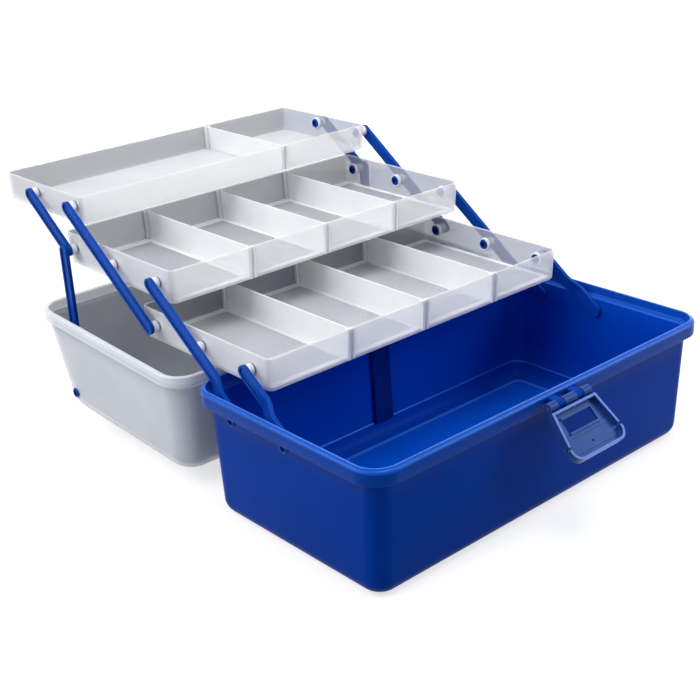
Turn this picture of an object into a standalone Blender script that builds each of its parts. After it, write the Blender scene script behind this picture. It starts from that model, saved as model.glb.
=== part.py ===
# Three-tray cantilever tackle box, shown open: a tub, a lid lying open behind it and
# three trays carried up and back on a parallelogram of moulded arms.
# Metres, +Z up, +X along the box, +Y towards the hinge. The origin is the middle of the
# tub's underside.

import math

import bmesh
import bpy
from mathutils import Matrix, Vector

# Clearances shared by the whole box
rest_gap = 0.0003
running_gap = 0.0004
cut_overrun = 0.002
root_depth = 0.0008

# Smoothness of round forms, in steps
corner_steps = 5
roof_round_steps = 3
pin_sides = 14
arm_end_steps = 4
arm_tip_share = 0.35
jog_steps = 5
handle_bend_steps = 4

# Tub
tub_length = 0.400
tub_depth = 0.222
tub_height = 0.1160
tub_wall = 0.0026
tub_corner_radius = 0.024
tub_draft_x = 0.0026
tub_draft_y = 0.0043
tub_bottom_radius = 0.0135
rim_band_height = 0.0137
rim_overhang = 0.0080
rim_skirt = 0.0020
rim_edge_radius = 0.0025
rim_bead_height = 0.0012
rim_bead_width = 0.0020
inner_ledge_depth = 0.008
inner_ledge_thickness = 0.0025
inner_ledge_fall = 0.0012
pilaster_width = 0.022
pilaster_depth = 0.003

# Lid, as it stands when closed
lid_rim_gap = 0.0003
lid_end_overhang = 0.002
lid_back_overhang = 0.0003
lid_front_overhang = 0.0045
lid_roof_lift = 0.0133
lid_wall = 0.0024
lid_corner_radius = 0.024
lid_band_height = 0.0105
lid_band_overhang = 0.0035
lid_edge_radius = 0.003
lid_ledge_width = 0.0012
lid_draft_x = 0.0073
lid_draft_back = 0.0048
lid_draft_front = 0.0272
lid_top_radius = 0.0224
lid_opening_deg = 177.6

# Hinge between tub and lid
hinge_behind_rim = 0.009
hinge_below_rim = 0.0017
hinge_from_end = 0.080
knuckle_radius = 0.0042
knuckle_hole_radius = 0.0018
hinge_pin_radius = 0.0015
tub_knuckle_length = 0.014
lid_knuckle_length = 0.024
tub_knuckle_web = 0.0060
lid_knuckle_web = 0.0075

# Tray linkage
pivot_spacing = 0.0663
arm_step = 0.0719
arm_open_deg = 35.9
rear_pivot_from_back = 0.0447
tub_pivot_below_rim = 0.0199
arm_width = 0.0112
arm_thickness = 0.0036
arm_channel_depth = 0.0013
arm_channel_rim = 0.0019
arm_stand_off = 0.0055
pivot_pin_radius = 0.0039
pivot_hole_radius = 0.0042
pivot_head_radius = 0.0049
pivot_head_length = 0.0010
pivot_collar_radius = 0.0050
arm_jog_start = 0.023
arm_jog_end = 0.041

# Trays
tray_end_room = 0.0262
tray_wall = 0.0018
tray_draft = 0.0015
tray_corner_radius = 0.006
tray_bottom_radius = 0.0025
pivot_boss_radius = 0.0062
pivot_boss_height = 0.0018
guide_width = 0.0070
guide_reach = 0.0032
divider_thickness = 0.0015
divider_below_rim = 0.0012
bottom_tray_front = 0.0221
bottom_tray_back = 0.0221
bottom_tray_below = 0.0157
bottom_tray_height = 0.0297
middle_tray_front = 0.0207
middle_tray_back = 0.0151
middle_tray_below = 0.0170
middle_tray_height = 0.0310
top_tray_front = 0.0096
top_tray_back = 0.0598
top_tray_below = 0.0178
top_tray_height = 0.0271
bottom_divider_shares = (-0.248, 0.000, 0.252)
middle_divider_shares = (-0.250, 0.000, 0.248)
top_divider_shares = (0.184,)

# Lid stays
stay_from_lid_front = 0.0457
stay_below_lid_roof = 0.0244

# Latch on the front of the tub
latch_ahead_of_rim = 0.0080
latch_below_rim = 0.0075
latch_barrel_radius = 0.0042
latch_pin_radius = 0.0015
latch_hole_radius = 0.0018
latch_barrel_length = 0.050
latch_window_width = 0.0085
latch_window_spacing = 0.023
latch_neck_length = 0.0052
latch_length = 0.048
latch_top_width = 0.053
latch_tip_width = 0.064
latch_tip_radius = 0.010
latch_plate = 0.0022
latch_rail_height = 0.0050
latch_rail_width = 0.0022
latch_notch = 0.0022
latch_notch_share = 0.72
latch_catch_width = 0.028
latch_catch_low = 0.0131
latch_catch_high = 0.0180
latch_catch_reach = 0.0075
latch_slot_low = 0.0125
latch_slot_high = 0.0245
latch_slot_width = 0.036
latch_ridge_width = 0.0018
latch_ridge_height = 0.0014
latch_hang_deg = 46.7

# Carry handle on the lid
handle_span = 0.132
handle_leg = 0.038
handle_radius = 0.0050
handle_bend_radius = 0.0065
handle_grip_bend = 0.014
handle_lug_width = 0.018
handle_lug_thickness = 0.008
handle_pin_end = 0.0025
handle_hole_radius = 0.0053
handle_lug_cap = 0.0075

# Places worked out from the sizes above
lid_length = tub_length + 2 * lid_end_overhang
lid_height = tub_height - lid_roof_lift
hinge_spacing = tub_length - 2 * hinge_from_end
tub_pivot_rear_y = tub_depth / 2 - rear_pivot_from_back
tub_pivot_z = tub_height - tub_pivot_below_rim
tray_length = tub_length - 2 * tray_end_room
stay_from_lid_rim = lid_height - stay_below_lid_roof
lid_rim_z = tub_height + lid_rim_gap
hinge_y = tub_depth / 2 + hinge_behind_rim
hinge_z = tub_height - hinge_below_rim
lid_back_y = tub_depth / 2 + lid_back_overhang
lid_front_y = -tub_depth / 2 - lid_front_overhang
lid_tilt = math.pi - math.radians(lid_opening_deg)
latch_y = -tub_depth / 2 - latch_ahead_of_rim
latch_z = tub_height - latch_below_rim
arm_angle = math.radians(arm_open_deg)
collar_x = tray_length / 2 + rest_gap
arm_inner_x = collar_x + arm_stand_off
stay_inner_x = arm_inner_x + arm_thickness + running_gap


def clear_scene():
    for old in list(bpy.data.objects):
        bpy.data.objects.remove(old, do_unlink=True)


def make_collection(name):
    made = bpy.data.collections.new(name)
    bpy.context.scene.collection.children.link(made)
    return made


def make_material(name, color, roughness, metallic=0.0, alpha=1.0):
    material = bpy.data.materials.new(name)
    material.use_nodes = True
    shader = material.node_tree.nodes["Principled BSDF"]
    shader.inputs["Base Color"].default_value = (*color, 1.0)
    shader.inputs["Roughness"].default_value = roughness
    shader.inputs["Metallic"].default_value = metallic
    shader.inputs["Alpha"].default_value = alpha
    material.diffuse_color = (*color, alpha)
    return material


clear_scene()
parts = make_collection("tackle_box")
cutters = make_collection("tackle_box_cutters")
blue_plastic = make_material("blue_plastic", (0.010, 0.055, 0.330), 0.25)
arm_plastic = make_material("arm_plastic", (0.018, 0.075, 0.400), 0.30)
latch_plastic = make_material("latch_plastic", (0.060, 0.120, 0.330), 0.35)
frosted_plastic = make_material("frosted_plastic", (0.780, 0.800, 0.830), 0.40, alpha=0.75)
pin_steel = make_material("pin_steel", (0.620, 0.630, 0.650), 0.30, metallic=1.0)


def object_from(bm, name, collection, parent=None):
    """An object whose mesh is bm, in the local frame of its parent."""
    bmesh.ops.recalc_face_normals(bm, faces=bm.faces)
    mesh = bpy.data.meshes.new(name)
    bm.to_mesh(mesh)
    bm.free()
    made = bpy.data.objects.new(name, mesh)
    made.parent = parent
    collection.objects.link(made)
    return made


def make_part(bm, name, material, parent=None):
    made = object_from(bm, name, parts, parent)
    made.data.materials.append(material)
    made.data.set_sharp_from_angle(angle=math.radians(35))
    return made


def axis_empty(name, place, turn=0.0, parent=None):
    """An empty on a joint's axis. place and turn are given in the parent's frame."""
    empty = bpy.data.objects.new(name, None)
    empty.location = place
    empty.rotation_euler = (turn, 0.0, 0.0)
    empty.parent = parent
    empty.empty_display_size = knuckle_radius
    parts.objects.link(empty)
    return empty


def combine(target, bm, operation, name):
    """Adds bm to target, or cuts it away. bm is given in target's own frame."""
    tool = object_from(bm, name, cutters, target)
    tool.hide_render = True
    tool.display_type = "WIRE"
    modifier = target.modifiers.new(name, "BOOLEAN")
    modifier.operation = operation
    modifier.solver = "EXACT"
    modifier.object = tool


def rounded_ring(low_x, high_x, low_y, high_y, radius, z):
    """Points of a rounded rectangle at height z, anticlockwise seen from above."""
    centres = (
        (high_x - radius, high_y - radius),
        (low_x + radius, high_y - radius),
        (low_x + radius, low_y + radius),
        (high_x - radius, low_y + radius),
    )
    points = []
    for quarter, (centre_x, centre_y) in enumerate(centres):
        for step in range(corner_steps + 1):
            turn = math.pi / 2 * (quarter + step / corner_steps)
            x = centre_x + radius * math.cos(turn)
            y = centre_y + radius * math.sin(turn)
            points.append(Vector((x, y, z)))
    return points


def add_loft(bm, rings):
    """A closed body through rings of equal count, capped at both ends."""
    rows = [[bm.verts.new(point) for point in ring] for ring in rings]
    count = len(rows[0])
    for lower, upper in zip(rows, rows[1:]):
        for index in range(count):
            after = (index + 1) % count
            bm.faces.new((lower[index], lower[after], upper[after], upper[index]))
    bm.faces.new(reversed(rows[0]))
    bm.faces.new(rows[-1])
    return [vert for row in rows for vert in row]


def add_box(bm, low, high):
    """A box between two corners, from the cube primitive."""
    low, high = Vector(low), Vector(high)
    place = Matrix.Translation((low + high) / 2) @ Matrix.Diagonal((*(high - low), 1.0))
    return bmesh.ops.create_cube(bm, size=1.0, matrix=place)["verts"]


def add_rod(bm, start_x, end_x, radius, y=0.0, z=0.0):
    """A cylinder along X, from the cone primitive."""
    middle = Vector(((start_x + end_x) / 2, y, z))
    place = Matrix.Translation(middle) @ Matrix.Rotation(math.pi / 2, 4, "Y")
    bmesh.ops.create_cone(
        bm, cap_ends=True, segments=pin_sides, radius1=radius, radius2=radius,
        depth=abs(end_x - start_x), matrix=place,
    )


def add_turned(bm, profile, y=0.0, z=0.0):
    """A body turned about an axis along X, from (x, radius) pairs."""
    rings = []
    for x, radius in profile:
        ring = []
        for side in range(pin_sides):
            turn = math.tau * side / pin_sides
            ring.append(Vector((x, y + radius * math.cos(turn), z + radius * math.sin(turn))))
        rings.append(ring)
    add_loft(bm, rings)


def add_prism(bm, outline, start, end, along="x"):
    """A prism from a flat outline of (u, z) pairs, run along X or along Y."""
    rings = []
    for place in (start, end):
        if along == "x":
            rings.append([Vector((place, u, z)) for u, z in outline])
        else:
            rings.append([Vector((u, place, z)) for u, z in outline])
    return add_loft(bm, rings)


def arc_points(centre_u, centre_z, radius, start_deg, end_deg, steps):
    points = []
    for step in range(steps + 1):
        turn = math.radians(start_deg + (end_deg - start_deg) * step / steps)
        points.append((centre_u + radius * math.cos(turn), centre_z + radius * math.sin(turn)))
    return points


def mirror_x(bm):
    for vert in bm.verts:
        vert.co.x = -vert.co.x


def tub_half_x(z):
    """Outer half length of the tub's wall at height z."""
    wall_top = tub_height - rim_band_height
    return tub_length / 2 - rim_overhang - tub_draft_x * (wall_top - z) / wall_top


def tub_half_y(z):
    """Outer half depth of the tub's wall at height z."""
    wall_top = tub_height - rim_band_height
    return tub_depth / 2 - rim_overhang - tub_draft_y * (wall_top - z) / wall_top


def tub_ring(inset, z, radius):
    half_x = tub_half_x(z) - inset
    half_y = tub_half_y(z) - inset
    return rounded_ring(-half_x, half_x, -half_y, half_y, radius, z)


def rim_ring(inset, z):
    half_x = tub_length / 2 - inset
    half_y = tub_depth / 2 - inset
    return rounded_ring(-half_x, half_x, -half_y, half_y, tub_corner_radius - inset, z)


def tub_rings():
    """Sections of the tub from its underside, round its turned-down rim to its inner floor."""
    wall_top = tub_height - rim_band_height
    wall_radius = tub_corner_radius - rim_overhang
    inner_radius = wall_radius - tub_wall
    foot_turns = [math.radians(degrees) for degrees in (0, 30, 60, 90)]
    rings = []
    for turn in foot_turns:
        inset = tub_bottom_radius * (1 - math.sin(turn))
        height = tub_bottom_radius * (1 - math.cos(turn))
        rings.append(tub_ring(inset, height, wall_radius - inset / 2))
    ledge_z = tub_height - inner_ledge_depth
    rings.append(tub_ring(0.0, ledge_z - inner_ledge_thickness, wall_radius))
    rings.append(rim_ring(rim_skirt, ledge_z - inner_ledge_thickness))
    rings.append(rim_ring(rim_skirt, wall_top))
    rings.append(rim_ring(rim_skirt / 2, wall_top))
    rings.append(rim_ring(0.0, wall_top + rim_skirt / 2))
    shoulder_z = tub_height - rim_bead_height
    for degrees in (0, 45, 90):
        turn = math.radians(degrees)
        inset = rim_edge_radius * (1 - math.cos(turn))
        rings.append(rim_ring(inset, shoulder_z - rim_edge_radius * (1 - math.sin(turn))))
    rings.append(rim_ring(rim_edge_radius, tub_height))
    rings.append(rim_ring(rim_edge_radius + rim_bead_width, tub_height))
    rings.append(rim_ring(rim_edge_radius + rim_bead_width, ledge_z))
    rings.append(tub_ring(tub_wall, ledge_z - inner_ledge_fall, inner_radius))
    for turn in reversed(foot_turns):
        inset = tub_bottom_radius * (1 - math.sin(turn))
        height = tub_wall + tub_bottom_radius * (1 - math.cos(turn))
        rings.append(tub_ring(tub_wall + inset, height, inner_radius - inset / 2))
    return rings


def add_pilaster(bm):
    """The flat rib inside the middle of the back wall, which follows the wall's slope."""
    low_z = tub_wall + tub_bottom_radius
    high_z = tub_height - inner_ledge_depth - 2 * inner_ledge_fall
    half = pilaster_width / 2
    for vert in add_box(bm, (-half, -pilaster_depth, low_z), (half, root_depth, high_z)):
        vert.co.y += tub_half_y(vert.co.z) - tub_wall


def add_tub_knuckles(bm, centre):
    """The tub's two barrels of one hinge, each with its web back to the rim."""
    wall_y = tub_depth / 2 - root_depth
    outline = [(wall_y, hinge_z), (wall_y, hinge_z - tub_knuckle_web)]
    outline += arc_points(hinge_y, hinge_z, knuckle_radius, -90, 90, pin_sides // 2)
    near = lid_knuckle_length / 2 + running_gap
    far = near + tub_knuckle_length
    add_prism(bm, outline, centre + near, centre + far)
    add_prism(bm, outline, centre - far, centre - near)


def add_latch_lugs(bm):
    """Two lugs under the front rim that hold the latch pin in the flap's windows."""
    radius = latch_barrel_radius - running_gap
    wall_y = -tub_depth / 2 + root_depth
    outline = [(wall_y, latch_z - radius), (wall_y, latch_z + radius)]
    outline += arc_points(latch_y, latch_z, radius, 90, 270, pin_sides // 2)
    half = latch_window_width / 2 - running_gap
    for side in (-1, 1):
        centre = side * latch_window_spacing / 2
        add_prism(bm, outline, centre - half, centre + half)


def build_tub():
    shell = bmesh.new()
    add_loft(shell, tub_rings())
    tub = make_part(shell, "base_tub", blue_plastic)

    added = bmesh.new()
    add_pilaster(added)
    add_latch_lugs(added)
    for side in (-1, 1):
        add_tub_knuckles(added, side * hinge_spacing / 2)
    combine(tub, added, "UNION", "tub_additions")

    holes = bmesh.new()
    hinge_reach = lid_knuckle_length / 2 + tub_knuckle_length + cut_overrun
    wall_x = tub_half_x(tub_pivot_z)
    for side in (-1, 1):
        centre = side * hinge_spacing / 2
        add_rod(holes, centre - hinge_reach, centre + hinge_reach, knuckle_hole_radius,
                hinge_y, hinge_z)
        for y in (tub_pivot_rear_y - pivot_spacing, tub_pivot_rear_y):
            add_rod(holes, side * (wall_x - tub_wall - cut_overrun), side * (wall_x + cut_overrun),
                    pivot_hole_radius, y, tub_pivot_z)
    latch_reach = latch_barrel_length / 2
    add_rod(holes, -latch_reach, latch_reach, latch_hole_radius, latch_y, latch_z)
    combine(tub, holes, "DIFFERENCE", "tub_holes")


def build_hinge_pins():
    reach = lid_knuckle_length / 2 + tub_knuckle_length
    for label, side in (("left", -1), ("right", 1)):
        pin = bmesh.new()
        centre = side * hinge_spacing / 2
        add_rod(pin, centre - reach, centre + reach, hinge_pin_radius)
        axis = axis_empty("hinge_pin_" + label + "_axis", (0.0, hinge_y, hinge_z))
        make_part(pin, "hinge_pin_" + label, pin_steel, axis)


def lid_ring(inset, height, radius):
    """A section of the lid at a height over its rim, in the frame of the hinge axis."""
    share = max(height - lid_band_height, 0.0) / (lid_height - lid_band_height)
    base = 0.0 if height < lid_band_height else lid_band_overhang
    side = base + lid_draft_x * share + inset
    back = base + lid_draft_back * share + inset
    front = base + lid_draft_front * share + inset
    return rounded_ring(
        -lid_length / 2 + side, lid_length / 2 - side,
        lid_front_y - hinge_y + front, lid_back_y - hinge_y - back,
        radius, lid_rim_z - hinge_z + height,
    )


def lid_rings():
    """Sections of the lid from its inner roof, down to the rim and up over its outside."""
    outer_radius = lid_corner_radius - lid_band_overhang
    inner_radius = outer_radius - lid_wall
    roof_turns = [math.pi / 2 * step / roof_round_steps for step in range(roof_round_steps, -1, -1)]
    rings = []
    for turn in roof_turns:
        inset = lid_top_radius * (1 - math.cos(turn))
        height = lid_height - lid_wall - lid_top_radius * (1 - math.sin(turn))
        rings.append(lid_ring(lid_wall + inset, height, inner_radius - inset / 2))
    rings.append(lid_ring(lid_wall, lid_band_height + lid_wall, inner_radius))
    inner_band = lid_band_overhang + lid_wall - lid_ledge_width
    rings.append(lid_ring(inner_band, lid_band_height - lid_ledge_width, inner_radius))
    rings.append(lid_ring(inner_band, 0.0, inner_radius))
    rings.append(lid_ring(lid_edge_radius / 3, 0.0, lid_corner_radius))
    rings.append(lid_ring(0.0, lid_edge_radius / 3, lid_corner_radius))
    rings.append(lid_ring(0.0, lid_band_height - lid_ledge_width, lid_corner_radius))
    rings.append(lid_ring(0.0, lid_band_height, outer_radius))
    for turn in reversed(roof_turns):
        inset = lid_top_radius * (1 - math.cos(turn))
        height = lid_height - lid_top_radius * (1 - math.sin(turn))
        rings.append(lid_ring(inset, height, outer_radius - inset / 2))
    return rings


def lid_side_x(height):
    """Outer half length of the lid's end wall at a height over its rim."""
    share = (height - lid_band_height) / (lid_height - lid_band_height)
    return lid_length / 2 - lid_band_overhang - lid_draft_x * share


def lid_inner_x(height):
    """Inner half length of the lid's end wall, where its rounding to the roof begins too."""
    round_start = lid_height - lid_wall - lid_top_radius
    rounding = max(height - round_start, 0.0) * math.tan(math.pi / 4 / roof_round_steps)
    return lid_side_x(height) - lid_wall - rounding


def handle_axis_height():
    """Height of the handle's pins over the roof at which the folded grip meets the ground."""
    grip_y = handle_leg - hinge_y
    drop = (hinge_z - handle_radius - grip_y * math.sin(lid_tilt)) / math.cos(lid_tilt)
    return drop - (lid_rim_z - hinge_z + lid_height)


def handle_lug_faces():
    """Inner and outer distance of a handle lug from the middle of the lid."""
    outer = handle_span / 2 - handle_bend_radius
    return outer - handle_lug_thickness, outer


def add_handle_lugs(bm):
    roof_z = lid_rim_z - hinge_z + lid_height
    half = handle_lug_width / 2
    axis_z = roof_z + handle_axis_height()
    outline = [(-hinge_y - half, roof_z - root_depth), (-hinge_y + half, roof_z - root_depth)]
    outline += arc_points(-hinge_y, axis_z, handle_lug_cap, 0, 180, pin_sides // 2)
    inner, outer = handle_lug_faces()
    add_prism(bm, outline, inner, outer)
    add_prism(bm, outline, -outer, -inner)


def add_lid_knuckle(bm, centre):
    """The lid's barrel of one hinge, with its web up to the band over the rim."""
    wall_y = lid_back_y - hinge_y - root_depth
    rim_z = lid_rim_z - hinge_z
    outline = arc_points(0.0, 0.0, knuckle_radius, 215, 410, pin_sides * 2 // 3)
    outline += [(wall_y, rim_z + lid_knuckle_web), (wall_y, rim_z + lid_edge_radius)]
    half = lid_knuckle_length / 2
    add_prism(bm, outline, centre - half, centre + half)


def add_latch_catch(bm):
    """The wedge on the lid's front band that the flap's slot drops over."""
    wall_y = lid_front_y - hinge_y
    low_z = latch_z + latch_catch_low - hinge_z
    high_z = latch_z + latch_catch_high - hinge_z
    outline = [
        (wall_y + root_depth, low_z), (wall_y + root_depth, high_z),
        (wall_y - latch_catch_reach / 2, high_z), (wall_y - latch_catch_reach, low_z),
    ]
    half = latch_catch_width / 2
    add_prism(bm, outline, -half, half)


def build_lid(axis):
    shell = bmesh.new()
    add_loft(shell, lid_rings())
    lid = make_part(shell, "lid_shell", frosted_plastic, axis)

    added = bmesh.new()
    add_handle_lugs(added)
    add_latch_catch(added)
    for side in (-1, 1):
        add_lid_knuckle(added, side * hinge_spacing / 2)
    combine(lid, added, "UNION", "lid_additions")

    holes = bmesh.new()
    knuckle_reach = lid_knuckle_length / 2 + cut_overrun
    stay_x = lid_side_x(stay_from_lid_rim)
    handle_z = lid_rim_z - hinge_z + lid_height + handle_axis_height()
    inner, outer = handle_lug_faces()
    for side in (-1, 1):
        centre = side * hinge_spacing / 2
        add_rod(holes, centre - knuckle_reach, centre + knuckle_reach, knuckle_hole_radius)
        add_rod(holes, side * (stay_x - lid_wall - 2 * cut_overrun), side * (stay_x + cut_overrun),
                pivot_hole_radius, *stay_place())
        add_rod(holes, side * (inner - cut_overrun), side * (outer + cut_overrun),
                handle_hole_radius, -hinge_y, handle_z)
    combine(lid, holes, "DIFFERENCE", "lid_holes")


def stay_place():
    """The stay's pivot on the lid, as (y, z) from the hinge axis with the lid closed."""
    return lid_front_y + stay_from_lid_front - hinge_y, lid_rim_z + stay_from_lid_rim - hinge_z


def handle_path():
    """The bail's centre line: a pin, a leg, the grip, a leg and a pin, as (x, y) pairs."""
    pin_x = handle_lug_faces()[0] - handle_pin_end
    side_x = handle_span / 2
    bends = (
        (side_x - handle_bend_radius, handle_bend_radius, handle_bend_radius, -90, 0),
        (side_x - handle_grip_bend, handle_leg - handle_grip_bend, handle_grip_bend, 0, 90),
    )
    half = [(pin_x, 0.0)]
    for centre_x, centre_y, radius, start, end in bends:
        half += arc_points(centre_x, centre_y, radius, start, end, handle_bend_steps)
    return half + [(-x, y) for x, y in reversed(half)]


def build_handle(axis):
    curve = bpy.data.curves.new("carry_handle", "CURVE")
    curve.dimensions = "3D"
    curve.bevel_depth = handle_radius
    curve.bevel_resolution = 3
    curve.use_fill_caps = True
    points = handle_path()
    spline = curve.splines.new("POLY")
    spline.points.add(len(points) - 1)
    for point, (x, y) in zip(spline.points, points):
        point.co = (x, y, 0.0, 1.0)
    curve.materials.append(blue_plastic)
    handle = bpy.data.objects.new("carry_handle", curve)
    handle.parent = axis
    parts.objects.link(handle)


def arm_shift(place, jog):
    """How far an arm stands outboard at a place along it, where it steps out to the tub."""
    share = min(max((arm_jog_end - place) / (arm_jog_end - arm_jog_start), 0.0), 1.0)
    return jog * share * share * (3 - 2 * share)


def arm_stations(start, end, radius, jog):
    """Places along a bar with round ends, each with its half width."""
    steps = [(step + arm_tip_share) / (arm_end_steps + arm_tip_share) for step in range(arm_end_steps)]
    turns = [math.pi / 2 * step for step in steps]
    stations = [(start - radius * math.cos(turn), radius * math.sin(turn)) for turn in turns]
    stations.append((start, radius))
    if jog:
        reach = arm_jog_end - arm_jog_start
        for step in range(jog_steps + 1):
            stations.append((arm_jog_start + reach * step / jog_steps, radius))
    stations.append((end, radius))
    for turn in reversed(turns):
        stations.append((end + radius * math.cos(turn), radius * math.sin(turn)))
    return stations


def add_bar(bm, start, end, radius, inner, outer, jog):
    """A flat bar along Y with round ends, between two distances from the middle."""
    rings = []
    for place, half in arm_stations(start, end, radius, jog):
        shift = arm_shift(place, jog)
        near, far = inner + shift, outer + shift
        rings.append([Vector((near, place, -half)), Vector((far, place, -half)),
                      Vector((far, place, half)), Vector((near, place, half))])
    add_loft(bm, rings)


def build_arm(name, axis, side, length, inner_x, tray_pins, wall=None):
    """One moulded arm: a channelled bar with its pins and their snap heads.

    tray_pins are places along it that carry a pin inwards. wall gives the seat inside and
    the face outside of the wall that takes a pin outwards at the arm's own axis.
    """
    radius = arm_width / 2
    outer_x = inner_x + arm_thickness
    jog = 0.0
    channel_start = 0.0
    if wall is not None:
        channel_start = 2 * radius
        if inner_x < stay_inner_x:
            jog = wall[0] - outer_x
    bar = bmesh.new()
    add_bar(bar, 0.0, length, radius, inner_x, outer_x, jog)
    channel = bmesh.new()
    floor_x = outer_x - arm_channel_depth
    add_bar(channel, channel_start, length, radius - arm_channel_rim, floor_x,
            outer_x + cut_overrun, jog)
    pins = bmesh.new()
    boss_x = tray_length / 2 - tray_draft - tray_wall - pivot_boss_height
    for place in tray_pins:
        add_turned(pins, pin_profile(inner_x + root_depth, boss_x - rest_gap, -1, collar_x), place)
    if wall is not None:
        collar_end = None if jog else wall[0]
        root = outer_x + jog - root_depth
        add_turned(pins, pin_profile(root, wall[1] + running_gap, 1, collar_end))
    if side < 0:
        for piece in (bar, channel, pins):
            mirror_x(piece)
    arm = make_part(bar, name, arm_plastic, axis)
    combine(arm, channel, "DIFFERENCE", name + "_channel")
    combine(arm, pins, "UNION", name + "_pins")


def pin_profile(root, seat, way, collar_end=None):
    """A pin from its root to its seat, with a snap head and any collar that spaces its arm."""
    nose = seat + way * pivot_head_length
    shank = [(root, pivot_pin_radius)]
    if collar_end is not None:
        shank = [(root, pivot_collar_radius), (collar_end, pivot_collar_radius),
                 (collar_end, pivot_pin_radius)]
    return shank + [(seat, pivot_pin_radius), (seat, pivot_head_radius), (nose, pivot_pin_radius)]


def tray_inset(z, low_z, height):
    """How far a tray's outer wall stands in at height z, for its draft."""
    return tray_draft * (low_z + height - z) / height


def tray_rings(low_y, high_y, low_z, height):
    def ring(inset, z):
        inward = tray_inset(z, low_z, height) + inset
        half_x = tray_length / 2 - inward
        return rounded_ring(-half_x, half_x, low_y + inward, high_y - inward,
                            tray_corner_radius - inset / 2, z)

    foot_turns = [math.radians(degrees) for degrees in (0, 45, 90)]
    rings = []
    for turn in foot_turns:
        rings.append(ring(tray_bottom_radius * (1 - math.sin(turn)),
                          low_z + tray_bottom_radius * (1 - math.cos(turn))))
    rings.append(ring(0.0, low_z + height))
    rings.append(ring(tray_wall, low_z + height))
    for turn in reversed(foot_turns):
        rings.append(ring(tray_wall + tray_bottom_radius * (1 - math.sin(turn)),
                          low_z + tray_wall + tray_bottom_radius * (1 - math.cos(turn))))
    return rings


def build_tray(name, axis, pivots, front, back, below, height, shares):
    """A tray with its pivot bosses and divider guides, and the dividers in them."""
    low_y, high_y = pivots[0] - front, pivots[-1] + back
    low_z = -below
    shell = bmesh.new()
    add_loft(shell, tray_rings(low_y, high_y, low_z, height))
    tray = make_part(shell, name, frosted_plastic, axis)

    added = bmesh.new()
    holes = bmesh.new()
    wall_x = tray_length / 2 - tray_inset(0.0, low_z, height) - tray_wall
    boss_x = tray_length / 2 - tray_draft - tray_wall - pivot_boss_height
    for side in (-1, 1):
        for y in pivots:
            add_rod(added, side * boss_x, side * (wall_x + root_depth), pivot_boss_radius, y)
            add_rod(holes, side * (boss_x - cut_overrun), side * (tray_length / 2 + cut_overrun),
                    pivot_hole_radius, y)

    slot = divider_thickness + 2 * rest_gap
    rib = (guide_width - slot) / 2
    top_z = low_z + height - divider_below_rim
    for number, share in enumerate(shares, 1):
        centre = share * tray_length
        for start in (centre - guide_width / 2, centre + slot / 2):
            for wall_y, way in ((low_y, 1), (high_y, -1)):
                ends = sorted((-way * root_depth, way * guide_reach))
                corners = (start, ends[0], low_z + tray_wall - root_depth), (start + rib, ends[1], top_z)
                for vert in add_box(added, *corners):
                    inward = tray_inset(vert.co.z, low_z, height) + tray_wall
                    vert.co.y += wall_y + way * inward
        build_divider(name + "_divider_" + str(number), axis, centre, low_y, high_y, low_z, height)
    combine(tray, added, "UNION", name + "_additions")
    combine(tray, holes, "DIFFERENCE", name + "_holes")


def build_divider(name, axis, centre, low_y, high_y, low_z, height):
    """A loose plate cut to the tray's section, with a rest gap to wall and floor."""
    floor_z = low_z + tray_wall + rest_gap
    turn_z = floor_z + tray_bottom_radius
    top_z = low_z + height - divider_below_rim

    def inward(z):
        return tray_inset(z, low_z, height) + tray_wall + rest_gap

    foot = inward(floor_z) + tray_bottom_radius
    outline = [
        (low_y + foot, floor_z), (high_y - foot, floor_z), (high_y - inward(turn_z), turn_z),
        (high_y - inward(top_z), top_z), (low_y + inward(top_z), top_z),
        (low_y + inward(turn_z), turn_z),
    ]
    plate = bmesh.new()
    half = divider_thickness / 2
    add_prism(plate, outline, centre - half, centre + half)
    make_part(plate, name, frosted_plastic, axis)


def flap_outline(inset):
    """Half of the flap's outline and its mirror, as (x, z) pairs down from the neck."""
    top_x = latch_top_width / 2 - inset
    tip_x = latch_tip_width / 2 - inset
    radius = latch_tip_radius - inset
    top_z = -latch_neck_length - inset
    tip_z = -latch_length + inset
    half = [(top_x, top_z), (tip_x, tip_z + radius)]
    half += arc_points(tip_x - radius, tip_z + radius, radius, 0, -90, 4)[1:]
    return half + [(-x, z) for x, z in reversed(half)]


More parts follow.
